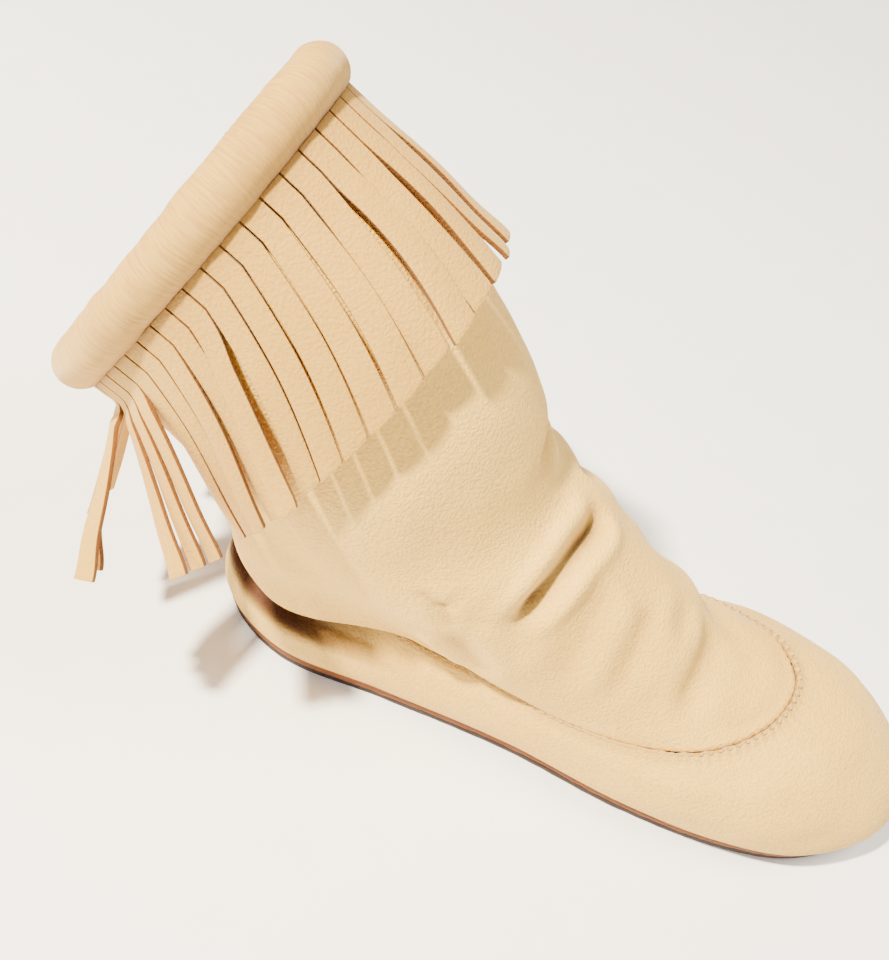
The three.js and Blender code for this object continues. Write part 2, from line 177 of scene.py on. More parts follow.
def thicken(piece, thickness, bevel=0.0):
    """Gives a sheet its wall on the inner side, with a softened cut edge."""
    wall = piece.modifiers.new("wall", "SOLIDIFY")
    wall.thickness = thickness * MM
    wall.offset = -1
    wall.use_even_offset = False
    if bevel:
        edge = piece.modifiers.new("worn_edge", "BEVEL")
        edge.width = bevel * MM
        edge.segments = 2
        edge.limit_method = "ANGLE"
        edge.angle_limit = math.radians(50)


def mark(piece, name, values):
    """Stores one number for each vertex, for the materials to read."""
    attribute = piece.data.attributes.new(name, "FLOAT", "POINT")
    attribute.data.foreach_set("value", np.asarray(values, np.float32))


def points_of(piece):
    """The piece's vertices in millimetres."""
    flat = np.empty(len(piece.data.vertices) * 3)
    piece.data.vertices.foreach_get("co", flat)
    return flat.reshape(-1, 3) / MM


def set_points(piece, points):
    piece.data.vertices.foreach_set("co", (np.asarray(points) * MM).ravel())
    piece.data.update()


def outward(piece):
    """Unit normals of the piece's vertices."""
    flat = np.empty(len(piece.data.vertices) * 3)
    piece.data.vertex_normals.foreach_get("vector", flat)
    return flat.reshape(-1, 3)


def noise_at(*coordinates):
    """Noise, from -1 to 1, at points given as one array of rows or as their three coordinates."""
    rows = coordinates[0] if len(coordinates) == 1 else np.stack(coordinates, axis=1)
    return np.array([noise(Vector(row)) for row in rows])


# ---- Curves --------------------------------------------------------------------------------------
def smooth_curve(points, share, closed=False):
    """Points of a curve through the given ones; share runs from 0 at the first to 1 at the last."""
    points = np.asarray(points, float)
    count = len(points) if closed else len(points) - 1
    at = np.mod(share, 1) * count if closed else np.clip(share, 0, 1) * count
    k = np.minimum(at.astype(int), count - 1)
    part = (at - k)[:, None]
    if closed:
        before, here, there, after = (points[(k + i) % count] for i in (-1, 0, 1, 2))
    else:
        padded = np.vstack([2 * points[0] - points[1], points, 2 * points[-1] - points[-2]])
        before, here, there, after = (padded[k + i] for i in (0, 1, 2, 3))
    gaps = [np.sqrt(np.maximum(np.linalg.norm(b - a, axis=1), 1e-9))[:, None]
            for a, b in ((before, here), (here, there), (there, after))]
    leave = (here - before) / gaps[0] - (there - before) / (gaps[0] + gaps[1]) + (there - here) / gaps[1]
    reach = (there - here) / gaps[1] - (after - here) / (gaps[1] + gaps[2]) + (after - there) / gaps[2]
    leave, reach = leave * gaps[1], reach * gaps[1]
    return (here + leave * part + (3 * (there - here) - 2 * leave - reach) * part**2
            + (2 * (here - there) + leave + reach) * part**3)


def measured(points, samples=400):
    """The curve through points as a dense line, with the distance reached at each of its points."""
    line = smooth_curve(points, np.linspace(0, 1, samples))
    steps = np.linalg.norm(np.diff(line, axis=0), axis=1)
    return line, np.concatenate([[0], np.cumsum(steps)])


def along_line(line, reach, distance):
    """Points of a measured line; a distance past its end runs on straight."""
    distance = np.asarray(distance, float)
    inside = np.clip(distance, 0, reach[-1])
    found = np.stack([np.interp(inside, reach, line[:, k]) for k in range(3)], axis=-1)
    tail = (line[-1] - line[-4]) / np.linalg.norm(line[-1] - line[-4])
    return found + (distance - inside)[..., None] * tail


def ease(value, start, end):
    share = np.clip((np.asarray(value, float) - start) / (end - start), 0, 1)
    return share * share * (3 - 2 * share)


def hump(value, centre, width):
    return np.exp(-(((np.asarray(value, float) - centre) / width) ** 2))


# ---- Sole outline and the upper's loops ----------------------------------------------------------
outline_share = (0, 0.025, 0.065, 0.15, 0.26, 0.39, 0.56, 0.74, 0.89, 0.97, 1)
outer_half = (0, 18, 29, 41, 45, 43, 35, 31, 28, 15, 0)
inner_half = (0, 17, 28, 38, 40, 34, 26, 28, 27, 14, 0)


def outline(angle):
    """Sole edge at an angle."""
    last = len(outline_share) - 1
    outer = [((0.5 - outline_share[k]) * sole_length, -outer_half[k]) for k in range(last)]
    inner = [((0.5 - outline_share[k]) * sole_length, inner_half[k]) for k in range(last, 0, -1)]
    return smooth_curve(outer + inner, np.atleast_1d(angle) / TURN, closed=True)


def outline_normal(angle):
    way = outline(np.atleast_1d(angle) + 0.02) - outline(np.atleast_1d(angle) - 0.02)
    return np.stack([way[:, 1], -way[:, 0]], 1) / np.linalg.norm(way, axis=1)[:, None] * -1


def loop_point(loop, angle):
    """Point of a loop: front and back in the middle plane, half width, roundness, side sinks."""
    front, back, half, roundness, sink_outer, sink_inner = loop
    c, s = np.cos(angle), np.sin(angle)
    plan = outline(angle)[0]
    along = (1 - roundness) * plan[0] / (sole_length / 2) + roundness * c
    sink = sink_outer if s > 0 else sink_inner
    return np.array([
        (front[0] + back[0]) / 2 + (front[0] - back[0]) / 2 * along,
        (1 - roundness) * plan[1] / outer_half[4] * half - roundness * half * s,
        (front[1] + back[1]) / 2 + (front[1] - back[1]) / 2 * along - sink * s * s,
    ])


heel_back = -sole_length / 2
seam_loop = ((seam_toe, seam_height), (heel_back + 8, seam_height - 4), seam_half, 0, 12, 17)
leg_loops = (
    seam_loop,
    ((seam_toe - 23, seam_height + 4), (heel_back + 7, seam_height + 1), seam_half, 0.15, 10, 15),
    ((seam_toe - 55, 70), (heel_back + 5.5, seam_height + 6), seam_half + 2, 0.5, 7, 8),
    ((-12, 91), (heel_back + 4, seam_height + 11), 43.5, 0.85, 3, 3),
    ((-30.5, instep_height - 1), (heel_back + 2, seam_height + 22), ankle_half, 1, 0, 0),
    ((-41.5, instep_height + 19), (heel_back - 4.5, seam_height + 30), shaft_half, 1, 0, 0),
    ((-62, instep_height + 46), (heel_back - 17, seam_height + 37), shaft_half + 0.5, 1, 0, 0),
    ((-92, instep_height + 77), (heel_back - 32, seam_height + 46), shaft_half - 0.5, 1, 0, 0),
)

# The toe seam as a dense line, with the distance reached at each of its points.
seam_angles = np.arange(1440) * TURN / 1440
seam_line = np.array([loop_point(seam_loop, a) for a in seam_angles])
seam_reach = np.concatenate([[0], np.cumsum(np.linalg.norm(np.diff(seam_line, axis=0), axis=1))])

# The collar ring's plane: its normal, the way along its long axis and the way across.
collar_normal = np.array([
    -math.sin(collar_lean) * math.cos(collar_twist),
    math.sin(collar_lean) * math.sin(collar_twist),
    math.cos(collar_lean),
])
collar_front = np.array([math.cos(collar_lean), 0, math.sin(collar_lean) * math.cos(collar_twist)])
collar_front /= np.linalg.norm(collar_front)
collar_side = -np.cross(collar_normal, collar_front)
collar_centre = np.array([collar_x, 0, collar_z])


def collar_point(angle):
    angle = np.asarray(angle, float)[..., None]
    return (collar_centre + collar_front * collar_along / 2 * np.cos(angle)
            + collar_side * collar_across / 2 * np.sin(angle))


def leg_line(angle):
    """Line up the leather from the toe seam to the collar ring, with its reach."""
    return measured([loop_point(loop, angle) for loop in leg_loops] + [collar_point(angle)])


# Lines down from the collar at even angles, for the pieces that hang over the shaft.
hang_count = 720
hang_angles = np.arange(hang_count) * TURN / hang_count
hang_depth = np.linspace(-3, 92, 96)
last_depth = 94.99      # just short of the table's last step, counted from its first


def hang_table():
    """Points of the shaft's outer face by angle and by distance down from the roll's edge."""
    table = np.empty((hang_count, len(hang_depth), 3))
    for k, angle in enumerate(hang_angles):
        line, _ = leg_line(angle)
        line = line[::-1]
        reach = np.concatenate([[0], np.cumsum(np.linalg.norm(np.diff(line, axis=0), axis=1))])
        ring = collar_point(angle + 0.01) - collar_point(angle - 0.01)
        down = line[8] - line[0]
        turned = np.cross(down / np.linalg.norm(down), ring / np.linalg.norm(ring))
        table[k] = along_line(line, reach, hang_depth + roll_radius / np.linalg.norm(turned))
    return table


hanging = hang_table()


def hang_point(angle, down):
    """Point of the shaft's face for arrays of angles and distances down from the roll's edge."""
    at = np.mod(np.asarray(angle, float) / TURN, 1) * hang_count
    k = at.astype(int) % hang_count
    part = (at - np.floor(at))[:, None]
    depth = np.clip(np.asarray(down, float) - hang_depth[0], 0, last_depth)
    j = depth.astype(int)
    fall = (depth - j)[:, None]
    near = hanging[k, j] * (1 - fall) + hanging[k, j + 1] * fall
    far = hanging[(k + 1) % hang_count, j] * (1 - fall) + hanging[(k + 1) % hang_count, j + 1] * fall
    return near * (1 - part) + far * part


def hang_normal(angle, down):
    around = hang_point(angle + 0.03, down) - hang_point(angle - 0.03, down)
    fall = hang_point(angle, np.minimum(down + 2, 91)) - hang_point(angle, np.maximum(down - 2, -3))
    normal = np.cross(around, fall)
    return normal / np.linalg.norm(normal, axis=1)[:, None]


def off_shaft(angle, down, out):
    """Point that far down from the roll's edge, standing out from the shaft's face."""
    return hang_point(angle, down) + hang_normal(angle, down) * np.asarray(out, float)[:, None]


ring_angles = np.linspace(0, TURN, 721)
ring_reach = np.concatenate([
    [0], np.cumsum(np.linalg.norm(np.diff(collar_point(ring_angles), axis=0), axis=1))])
ring_length = ring_reach[-1]
strip_pitch = ring_length / fringe_strips


def angle_at(distance):
    """Angle round the collar at a distance along its ring from the front."""
    distance = np.asarray(distance, float)
    turns = np.floor(distance / ring_length)
    return np.interp(distance - turns * ring_length, ring_reach, ring_angles) + turns * TURN


# ---- Materials -----------------------------------------------------------------------------------
def new_material(name):
    material = bpy.data.materials.new(name)
    material.use_nodes = True
    nodes, links = material.node_tree.nodes, material.node_tree.links
    return material, nodes, links, nodes["Principled BSDF"]


def noise_texture(nodes, links, scale, detail, stretch=(1, 1, 1)):
    texture = nodes.new("ShaderNodeTexNoise")
    texture.inputs["Scale"].default_value = scale
    texture.inputs["Detail"].default_value = detail
    place = nodes.new("ShaderNodeTexCoord")
    fit = nodes.new("ShaderNodeMapping")
    fit.inputs["Scale"].default_value = stretch
    links.new(place.outputs["Object"], fit.inputs["Vector"])
    links.new(fit.outputs["Vector"], texture.inputs["Vector"])
    return texture


def colour_ramp(nodes, stops):
    ramp = nodes.new("ShaderNodeValToRGB")
    points = ramp.color_ramp.elements
    for k, (position, colour) in enumerate(stops):
        point = points[k] if k < 2 else points.new(position)
        point.position = position
        point.color = (*colour, 1)
    return ramp


def read_attribute(nodes, name):
    reader = nodes.new("ShaderNodeAttribute")
    reader.attribute_name = name
    return reader.outputs["Fac"]


def blend_colours(nodes, links, share, base, over):
    """Colour that goes from base to over as share rises; over may be a fixed colour."""
    mix = nodes.new("ShaderNodeMix")
    mix.data_type = "RGBA"
    links.new(share, mix.inputs["Factor"])
    links.new(base, mix.inputs["A"])
    if isinstance(over, tuple):
        mix.inputs["B"].default_value = (*over, 1)
    else:
        links.new(over, mix.inputs["B"])
    return mix.outputs["Result"]


def add_bump(nodes, links, height, distance, strength, below=None, flip=False):
    bump = nodes.new("ShaderNodeBump")
    bump.invert = flip
    bump.inputs["Distance"].default_value = distance * MM
    bump.inputs["Strength"].default_value = strength
    links.new(height, bump.inputs["Height"])
    if below:
        links.new(below, bump.inputs["Normal"])
    return bump.outputs["Normal"]


def leather_material(name, pale, deep, painted_shade, grain=1.0, nap=0.1, painted_highlight=False):
    """Matt deerskin: pebbled grain, soft nap, cloudy colour, painted brown shade in its creases and recesses,
    and optionally a painted highlight.
    """
    material, nodes, links, shader = new_material(name)
    cloud = noise_texture(nodes, links, 22, 4)
    ramp = colour_ramp(nodes, [(0.32, deep), (0.68, pale)])
    links.new(cloud.outputs["Fac"], ramp.inputs["Fac"])
    colour = ramp.outputs["Color"]
    pebble = nodes.new("ShaderNodeTexVoronoi")
    pebble.feature = "SMOOTH_F1"
    pebble.inputs["Scale"].default_value = 1000
    pebble.inputs["Smoothness"].default_value = 0.6
    place = nodes.new("ShaderNodeTexCoord")
    wobble = noise_texture(nodes, links, 240, 2)
    shift = nodes.new("ShaderNodeMix")
    shift.data_type = "RGBA"
    shift.blend_type = "LINEAR_LIGHT"
    shift.inputs["Factor"].default_value = 0.0012
    links.new(place.outputs["Object"], shift.inputs["A"])
    links.new(wobble.outputs["Color"], shift.inputs["B"])
    links.new(shift.outputs["Result"], pebble.inputs["Vector"])
    fine = noise_texture(nodes, links, 1900, 3)
    pits = colour_ramp(nodes, [(0.05, (0, 0, 0)), (0.75, (1, 1, 1))])
    links.new(pebble.outputs["Distance"], pits.inputs["Fac"])
    grain_shade = nodes.new("ShaderNodeMath")
    grain_shade.operation = "MULTIPLY"
    grain_shade.inputs[1].default_value = 0.26 * grain
    links.new(pits.outputs["Color"], grain_shade.inputs[0])
    colour = blend_colours(nodes, links, grain_shade.outputs["Value"], colour, tuple(0.62 * c for c in deep))
    # Painted shade: the colour turns brown where creases, seams and recesses lie in shade.
    colour = blend_colours(nodes, links, read_attribute(nodes, "painted_shade"), colour, painted_shade)
    # Painted highlight: a lighter, yellower tone where the leather bulges out or tops the toe.
    if painted_highlight:
        colour = blend_colours(nodes, links, read_attribute(nodes, "painted_highlight"), colour, (0.95, 0.62, 0.16))
    links.new(colour, shader.inputs["Base Color"])
    rough = colour_ramp(nodes, [(0.3, (0.62, 0.62, 0.62)), (0.8, (0.86, 0.86, 0.86))])
    links.new(fine.outputs["Fac"], rough.inputs["Fac"])
    links.new(rough.outputs["Color"], shader.inputs["Roughness"])
    shader.inputs["Specular IOR Level"].default_value = 0.32
    shader.inputs["Sheen Weight"].default_value = nap
    shader.inputs["Sheen Roughness"].default_value = 0.45
    normal = add_bump(nodes, links, pebble.outputs["Distance"], 0.22 * grain, 0.9, flip=True)
    normal = add_bump(nodes, links, fine.outputs["Fac"], 0.12, 0.7, normal)
    links.new(normal, shader.inputs["Normal"])
    return material


def shaded_roll_material():
    """Deerskin stretched round the padding, with fine wrinkles and nap running across the roll; its colour is
    the cream deerskin darkened with painted shade, with more painted shade in the wrinkles and on its
    underside.
    """
    material, nodes, links, shader = new_material("rolled_deerskin_painted_shade")
    uv = nodes.new("ShaderNodeUVMap")
    uv.uv_map = "around"
    fit = nodes.new("ShaderNodeMapping")
    fit.inputs["Scale"].default_value = (420, 4.5, 1)
    links.new(uv.outputs["UV"], fit.inputs["Vector"])
    wrinkle = nodes.new("ShaderNodeTexNoise")
    wrinkle.inputs["Scale"].default_value = 1.0
    wrinkle.inputs["Detail"].default_value = 5
    wrinkle.inputs["Roughness"].default_value = 0.62
    links.new(fit.outputs["Vector"], wrinkle.inputs["Vector"])
    cloud = noise_texture(nodes, links, 26, 3)
    # Painted shade: these tones are the cream deerskin made darker.
    ramp = colour_ramp(nodes, [(0.3, (0.57, 0.325, 0.06)), (0.7, (0.70, 0.42, 0.088))])
    links.new(cloud.outputs["Fac"], ramp.inputs["Fac"])
    # Painted shade in the valleys of the wrinkles.
    painted_wrinkle_shade = colour_ramp(nodes, [(0.38, (1, 1, 1)), (0.6, (0, 0, 0))])
    links.new(wrinkle.outputs["Fac"], painted_wrinkle_shade.inputs["Fac"])
    share = nodes.new("ShaderNodeMath")
    share.operation = "MULTIPLY"
    share.inputs[1].default_value = 0.4
    links.new(painted_wrinkle_shade.outputs["Color"], share.inputs[0])
    colour = blend_colours(nodes, links, share.outputs["Value"], ramp.outputs["Color"], (0.34, 0.14, 0.02))
    # Painted shade on the roll's underside.
    colour = blend_colours(nodes, links, read_attribute(nodes, "painted_shade"), colour, (0.30, 0.14, 0.045))
    links.new(colour, shader.inputs["Base Color"])
    shader.inputs["Roughness"].default_value = 0.8
    shader.inputs["Sheen Weight"].default_value = 0.15
    shader.inputs["Sheen Roughness"].default_value = 0.4
    fine = noise_texture(nodes, links, 1700, 3)
    normal = add_bump(nodes, links, wrinkle.outputs["Fac"], 0.55, 0.8)
    normal = add_bump(nodes, links, fine.outputs["Fac"], 0.1, 0.6, normal)
    links.new(normal, shader.inputs["Normal"])
    return material


def fibre_material(name, light, dark, scale, stretch=(1, 1, 1), bump=0.4, roughness=0.9, detail=6):
    """A matt fibrous or felted stuff: two colours of streaks with a raised pile."""
    material, nodes, links, shader = new_material(name)
    fibres = noise_texture(nodes, links, scale, detail, stretch)
    clouds = noise_texture(nodes, links, 40, 3)
    ramp = colour_ramp(nodes, [(0.34, dark), (0.66, light)])
    links.new(fibres.outputs["Fac"], ramp.inputs["Fac"])
    shade = colour_ramp(nodes, [(0.3, (0, 0, 0)), (0.75, (0.45, 0.45, 0.45))])
    links.new(clouds.outputs["Fac"], shade.inputs["Fac"])
    colour = blend_colours(nodes, links, shade.outputs["Color"], ramp.outputs["Color"],
                           tuple(0.7 * c for c in dark))
    links.new(colour, shader.inputs["Base Color"])
    rough = colour_ramp(nodes, [(0.3, (roughness - 0.12,) * 3), (0.7, (roughness,) * 3)])
    links.new(fibres.outputs["Fac"], rough.inputs["Fac"])
    links.new(rough.outputs["Color"], shader.inputs["Roughness"])
    links.new(add_bump(nodes, links, fibres.outputs["Fac"], bump, 0.8), shader.inputs["Normal"])
    return material


# The last colour given to each deerskin is the brown of its painted shade.
cream_leather = leather_material("cream_deerskin", (0.94, 0.60, 0.135), (0.88, 0.525, 0.10),
                                 (0.07, 0.018, 0.003), grain=1.5, painted_highlight=True)
# The fringe deerskin is the cream deerskin made darker: its lower tone is painted shade.
shaded_fringe_leather = leather_material("fringe_deerskin_painted_shade", (0.72, 0.425, 0.08), (0.63, 0.345, 0.057),
                                  (0.13, 0.028, 0.003), grain=1.0)
shaded_roll_leather = shaded_roll_material()
sole_leather = fibre_material("tan_sole_leather", (0.30, 0.095, 0.025), (0.17, 0.048, 0.012), 260, (1, 1, 7))
rubber = fibre_material("dark_crepe_rubber", (0.055, 0.022, 0.012), (0.022, 0.009, 0.006), 330, (1, 1, 2),
                        0.5, 0.75)
fibre_board = fibre_material("fibre_board", (0.52, 0.36, 0.20), (0.36, 0.24, 0.13), 520, (1, 2.5, 1))
brushed_lining = fibre_material("brushed_lining", (0.78, 0.68, 0.52), (0.62, 0.51, 0.36), 900, (1, 1, 1), 0.7)
foam = fibre_material("roll_foam", (0.80, 0.76, 0.66), (0.66, 0.61, 0.50), 1100, (1, 1, 1), 0.5)
tape = fibre_material("seam_tape", (0.72, 0.58, 0.38), (0.56, 0.43, 0.27), 1300, (1, 4, 1), 0.3)
waxed_thread = fibre_material("waxed_thread", (0.66, 0.48, 0.27), (0.45, 0.30, 0.15), 2600, (1, 1, 1),
                              0.12, 0.7)


# ---- Sole ----------------------------------------------------------------------------------------
def sole_layer(name, inset, base, thickness, roughness, material, seed):
    """A flat layer cut to the sole's outline, with worn edges and a ragged side."""
    angles = np.arange(240) * TURN / 240
    rim = outline(angles) - outline_normal(angles) * inset
    bm = bmesh.new()
    made = bmesh.ops.create_circle(bm, cap_ends=True, segments=240, radius=1)["verts"]
    for vertex, (x, y) in zip(made, rim):
        vertex.co = Vector((x, y, base)) * MM
    steps = 4
    for step in range(steps):
        crest = max(v.co.z for v in bm.verts)
        top = [f for f in bm.faces if all(abs(v.co.z - crest) < 1e-7 for v in f.verts)]
        raised = bmesh.ops.extrude_face_region(bm, geom=top)["geom"]
        if step:
            bmesh.ops.delete(bm, geom=top, context="FACES_ONLY")
        lifted = [g for g in raised if isinstance(g, bmesh.types.BMVert)]
        bmesh.ops.translate(bm, verts=lifted, vec=(0, 0, thickness / steps * MM))
    bmesh.ops.recalc_face_normals(bm, faces=bm.faces[:])
    for vertex in bm.verts:
        away = Vector((vertex.co.x, vertex.co.y, 0)).normalized()
        level = (vertex.co.z / MM - base) / thickness
        ragged = noise(Vector((*(vertex.co.xy * 420), seed + 3 * level))) * roughness
        worn = -0.5 * (abs(2 * level - 1) ** 4)
        vertex.co += away * (ragged + worn) * MM
    piece = add_piece(bm, name)
    piece.data.materials.append(material)
    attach(piece, "foot")
    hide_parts(name.replace("_layer", ""))


# ---- Upper leather -------------------------------------------------------------------------------
def wrap_points(angle):
    """Section of the lower wrap: turned in below the board, round the edge, up to the seam."""
    toe = max(math.cos(angle), 0) ** 1.5
    swell = 3.5 + 7 * toe
    edge = np.append(outline(angle)[0], feather_height)
    out = np.append(outline_normal(angle)[0], 0)
    top = loop_point(seam_loop, angle)

    def at(share, push, lift):
        return edge + (top - edge) * share + out * push + np.array([0, 0, lift])

    return [
        edge - out * lasting_margin,
        at(0, -3.5, 0),
        at(0, 0.3, 0.8),
        at(0.12, swell * 0.62, 0.8 + toe),
        at(0.35, swell, 1.2 + 3 * toe),
        at(0.65, swell * 0.85, 1 + 4 * toe),
        at(0.87, swell * 0.4, 0.4 + 2 * toe),
        top + np.array([0, 0, 0.5]),
    ]


def wrap_column(angle, shares):
    """Points up the wrap's section, closer together near the seam."""
    line, reach = measured(wrap_points(angle))
    return along_line(line, reach, reach[-1] * (1 - (1 - shares) ** 1.25))


def pucker(angle, phase=0.0):
    """Gathers along the toe seam, a stitch apart, strongest round the toe."""
    reach = np.interp(np.mod(angle, TURN), seam_angles, seam_reach)
    wave = np.sin(reach / stitch_pitch * TURN + phase)
    return wave * (ease(np.cos(angle), 0.25, 0.8) * 0.85 + 0.15)


def lower_wrap():
    """Leather round the foot, gathered into the toe seam."""
    across, along = 420, 84
    shares = np.linspace(0, 1, along + 1)
    columns = np.array([wrap_column(TURN * a / across, shares) for a in range(across)])

    def place(u, v):
        return columns[np.round(u * across).astype(int) % across, np.round(v * along).astype(int)]

    bm = bmesh.new()
    sheet_grid(bm, across, along, place, closed=True)
    bmesh.ops.recalc_face_normals(bm, faces=bm.faces[:])
    piece = add_piece(bm, "lower_wrap_leather")
    points, normals = points_of(piece), outward(piece)
    near = nearest_on(points, seam_line)
    angles = seam_angles[near["index"]]
    fade = np.exp(-near["distance"] / 3.2)
    rise = pucker(angles) * fade * 0.55
    lip = 0.5 * np.exp(-((near["distance"] - 1.2) / 1.6) ** 2)
    soft = noise_at(points * 0.035) * 1.1
    soft *= ease(points[:, 2], feather_height + 4, feather_height + 14)
    tug = noise_at(points * (0.05, 0.05, 0.16) + (0, 0, 9)) * 0.55
    tug *= ease(points[:, 2], feather_height + 2, feather_height + 9)
    hollow = heel_share(angles) * ease(points[:, 2], 22, 29)
    # Painted shadow in the pocket under the slack leather that bags over the heel.
    painted_pocket_shadow = heel_share(angles) * ease(points[:, 2], 18, 24.5)
    points = points + normals * (rise + (lip + soft) * (1 - hollow) + tug - 5.0 * hollow)[:, None]
    set_points(piece, points)
    # Painted shade along the seam, in the hollows of the gathers and where the leather turns under at the
    # sole.
    shade = np.clip(0.5 * np.exp(-near["distance"] / 1.1) - 0.25 * pucker(angles) * fade, 0, 1)
    shade += 0.55 * (1 - ease(points[:, 2], feather_height - 1, feather_height + 3.5))
    # A little darker towards the bottom.
    shade += 0.10 * (1 - ease(points[:, 2], 12, 38))
    shade = np.maximum(shade, painted_pocket_shadow)
    mark(piece, "painted_shade", np.clip(shade, 0, 1))
    # Painted highlight on the top of the toe.
    mark(piece, "painted_highlight", 0.35 * ease(points[:, 0], 85, 120) * ease(points[:, 2], 12, 30))
    thicken(piece, leather)
    piece.data.materials.append(cream_leather)
    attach(piece, "foot")
    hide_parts("lower_wrap")


def nearest_on(points, line):
    """Distance from each point to a dense line, and the index of the line's nearest point."""
    tree = KDTree(len(line))
    for k, p in enumerate(line):
        tree.insert(p, k)
    tree.balance()
    found = [tree.find(p) for p in points]
    return {"index": np.array([f[1] for f in found]), "distance": np.array([f[2] for f in found])}


# Folds of the leg leather: the line that each runs along, then its depth, its half width, the lift
# of the leather beside it, and how much shade is painted at the bottom.
folds = (
    # the deep fold across the front of the ankle, down the outer side
    (((-15, 8, 95), (-15, -4, 93), (-19, -15, 91), (-24, -27, 85), (-28, -35, 78), (-32, -39, 68)),
     5.4, 4.0, 2.2, 0.95),
    # its twin on the inner side
    (((-19, 12, 93), (-22, 22, 89), (-26, 33, 80), (-30, 39, 70)), 2.6, 6.0, 0.7, 0.4),
    # tuck at the front of the leg
    (((-44, 20, 113), (-40, 8, 113), (-40, -3, 112), (-44, -13, 109)), 3.6, 3.6, 0.4, 0.5),
    # star-shaped pucker on the outer side of the ankle
    (((-62, -44, 83), (-57, -43, 80), (-53, -42, 77)), 0.8, 2.2, 0.2, 0.2),
    (((-55, -42, 80), (-52, -41, 75), (-47, -40, 67)), 1.4, 2.6, 0.3, 0.42),
    (((-54, -43, 76), (-50, -43, 81), (-46, -42, 87)), 0.7, 2.4, 0.2, 0.15),
    # folds that run down the instep from the ridge to the seam
    (((-50, -41, 68), (-43, -39, 59), (-36, -37, 49), (-31, -35, 41)), 1.9, 5.0, 1.2, 0.22),
    (((12, -10, 72), (11, -20, 68), (10, -29, 59), (9, -36, 46)), 1.5, 6.5, 0.9, 0.1),
    (((40, 6, 56), (37, -8, 56), (33, -20, 52), (30, -31, 43)), 1.9, 6.0, 1.1, 0.16),
    (((24, 5, 66), (23, -12, 63), (21, -25, 55), (20, -34, 44)), 1.0, 4.6, 0.8, 0.08),
    (((-4, -14, 84), (-6, -28, 74), (-9, -36, 60), (-11, -38, 48)), 1.2, 6.0, 0.9, 0.1),
    # the same slack on the inner side
    (((12, 10, 72), (11, 20, 67), (10, 29, 57), (9, 34, 45)), 1.6, 6.5, 0.8, 0.15),
    (((40, 6, 56), (38, 14, 54), (34, 23, 50), (31, 29, 41)), 1.6, 6.0, 0.8, 0.15),
    (((-50, 42, 76), (-42, 41, 66), (-34, 38, 54)), 2.2, 5.5, 1.2, 0.25),
    # hollow along the toe seam
    (((46, -27, 43), (56, -21, 44), (63, -13, 46), (67, -3, 47), (66, 8, 47), (60, 18, 45)),
     0.9, 5.0, 0.3, 0.12),
)


def fold_shape(points, normals):
    """Displacement and painted shade that the folds give to points of the leg leather."""
    moved = np.zeros(len(points))
    dark = np.zeros(len(points))
    for line, depth, width, lift, shade in folds:
        track = smooth_curve(line, np.linspace(0, 1, 160))
        near = nearest_on(points, track)
        share = near["index"] / (len(track) - 1)
        taper = ease(share, 0, 0.22) * ease(1 - share, 0, 0.3)
        d = near["distance"] / width
        valley = np.exp(-np.abs(d) ** 1.5 * 1.1)
        beside = np.exp(-((d - 1.9) / 0.9) ** 2)
        moved += taper * (lift * beside - depth * valley)
        dark = np.maximum(dark, taper * shade * np.exp(-(d / 0.62) ** 2))
    return moved, dark


def heel_share(angle):
    """1 round the heel, where the slack leather bags over the seam, and 0 forward of the ankle."""
    return ease(-np.cos(angle), 0.4, 0.8)


def heel_slouch(angle, height):
    """How the slack at the heel bags over the seam: out, drop, and shade, by height above the seam."""
    place = heel_share(angle)
    out = place * (6.0 * ease(height, 4, 10) * (1 - ease(height, 30, 75)) - 7.0 * (1 - ease(height, 3, 8)))
    drop = place * 10.5 * hump(height, 12, 9)
    shade = place * (1 - ease(height, 5, 10))
    return out, drop, shade


def leg_column(angle, shares):
    """Points up the leg leather at one angle, with their heights above the seam along the leather."""
    line, reach = leg_line(angle)
    heights = (reach[-1] - 4 + under_seam) * shares - under_seam
    start = (line[4] - line[0]) / np.linalg.norm(line[4] - line[0])
    return along_line(line, reach, heights) + np.outer(np.minimum(heights, 0), start), heights


